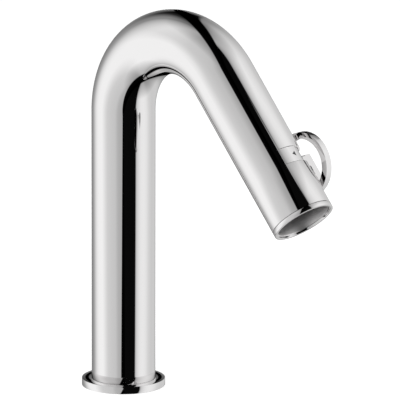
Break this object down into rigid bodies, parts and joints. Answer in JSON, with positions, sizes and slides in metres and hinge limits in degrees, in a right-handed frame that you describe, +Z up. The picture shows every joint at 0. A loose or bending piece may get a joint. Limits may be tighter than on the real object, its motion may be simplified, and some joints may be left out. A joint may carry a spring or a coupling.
{
  "type": "single lever basin mixer",
  "caption": "Tall bent-tube basin mixer on a round flange, with a sloping spout and a side loop lever that swings for heat and turns for flow.",
  "frame": {"origin": "centre of the foot's flat underside, on the column's axis, at the deck", "axes": "+Z up along the column; +X from the column towards the outlet; +Y the user's right, where the loop handle stands"},
  "size_m": [0.1884, 0.0523, 0.2346],
  "materials": {
    "chrome_shell": "polished chrome plate on brass tube",
    "chrome_trim": "polished chrome plate on turned brass",
    "chrome_drum": "polished chrome plate on turned brass",
    "chrome_handle": "polished chrome plate on cast zinc",
    "brass": "machined, unplated",
    "steel": "turned stainless steel",
    "steel_mesh": "punched stainless strainer",
    "rubber": "matt moulded rubber",
    "pex": "cross-linked polyethylene tube",
    "disc_ceramic": "lapped alumina",
    "acetal": "moulded acetal",
    "aerator_plastic": "moulded plastic",
    "mark_ink": "dark grey inlay"
  },
  "bodies": {
    "mixer_body": {"spout_tube": "chrome_shell", "base_flange": "chrome_trim", "base_gasket": "rubber", "base_plug": "brass", "inlet_filters": "steel_mesh", "supply_tube_cold": "pex", "supply_tube_hot": "pex", "supply_seals": "rubber", "valve_block": "brass", "block_seal": "rubber", "port_seals": "rubber", "seat_dowels": "steel", "fixed_disc": "disc_ceramic", "index_plate": "chrome_trim", "index_mark": "mark_ink", "thrust_ring": "acetal", "aerator_holder": "brass", "aerator_washer": "rubber", "aerator_insert": "aerator_plastic", "outlet_ring": "chrome_trim"},
    "mixing_unit": {"mixing_drum": "chrome_drum", "drum_seals": "rubber", "spindle_bushes": "acetal", "neck_seal": "rubber"},
    "handle": {"loop_handle": "chrome_handle", "crank_spindle": "steel", "grub_screw": "steel"},
    "disc_slider": {"moving_disc": "disc_ceramic", "disc_carrier": "acetal"}
  },
  "joints": [
    {"name": "mix_swing", "type": "hinge", "parent": "mixer_body", "child": "mixing_unit", "pos_m": [0.12591, 0, 0.15125], "axis": [0.66, 0, -0.7513], "range_deg": [0, 60]},
    {"name": "flow_turn", "type": "hinge", "parent": "mixing_unit", "child": "handle", "pos_m": [0.12591, 0, 0.15125], "axis": [0, -1, 0], "range_deg": [0, 25]},
    {"name": "disc_shift", "type": "slide", "parent": "mixing_unit", "child": "disc_slider", "axis": [-0.7513, 0, -0.66], "range_m": [0, 0.00416]}
  ],
  "couplings": [
    {"joint": "disc_shift", "follows": "flow_turn", "m_per_rad": 0.0095}
  ]
}
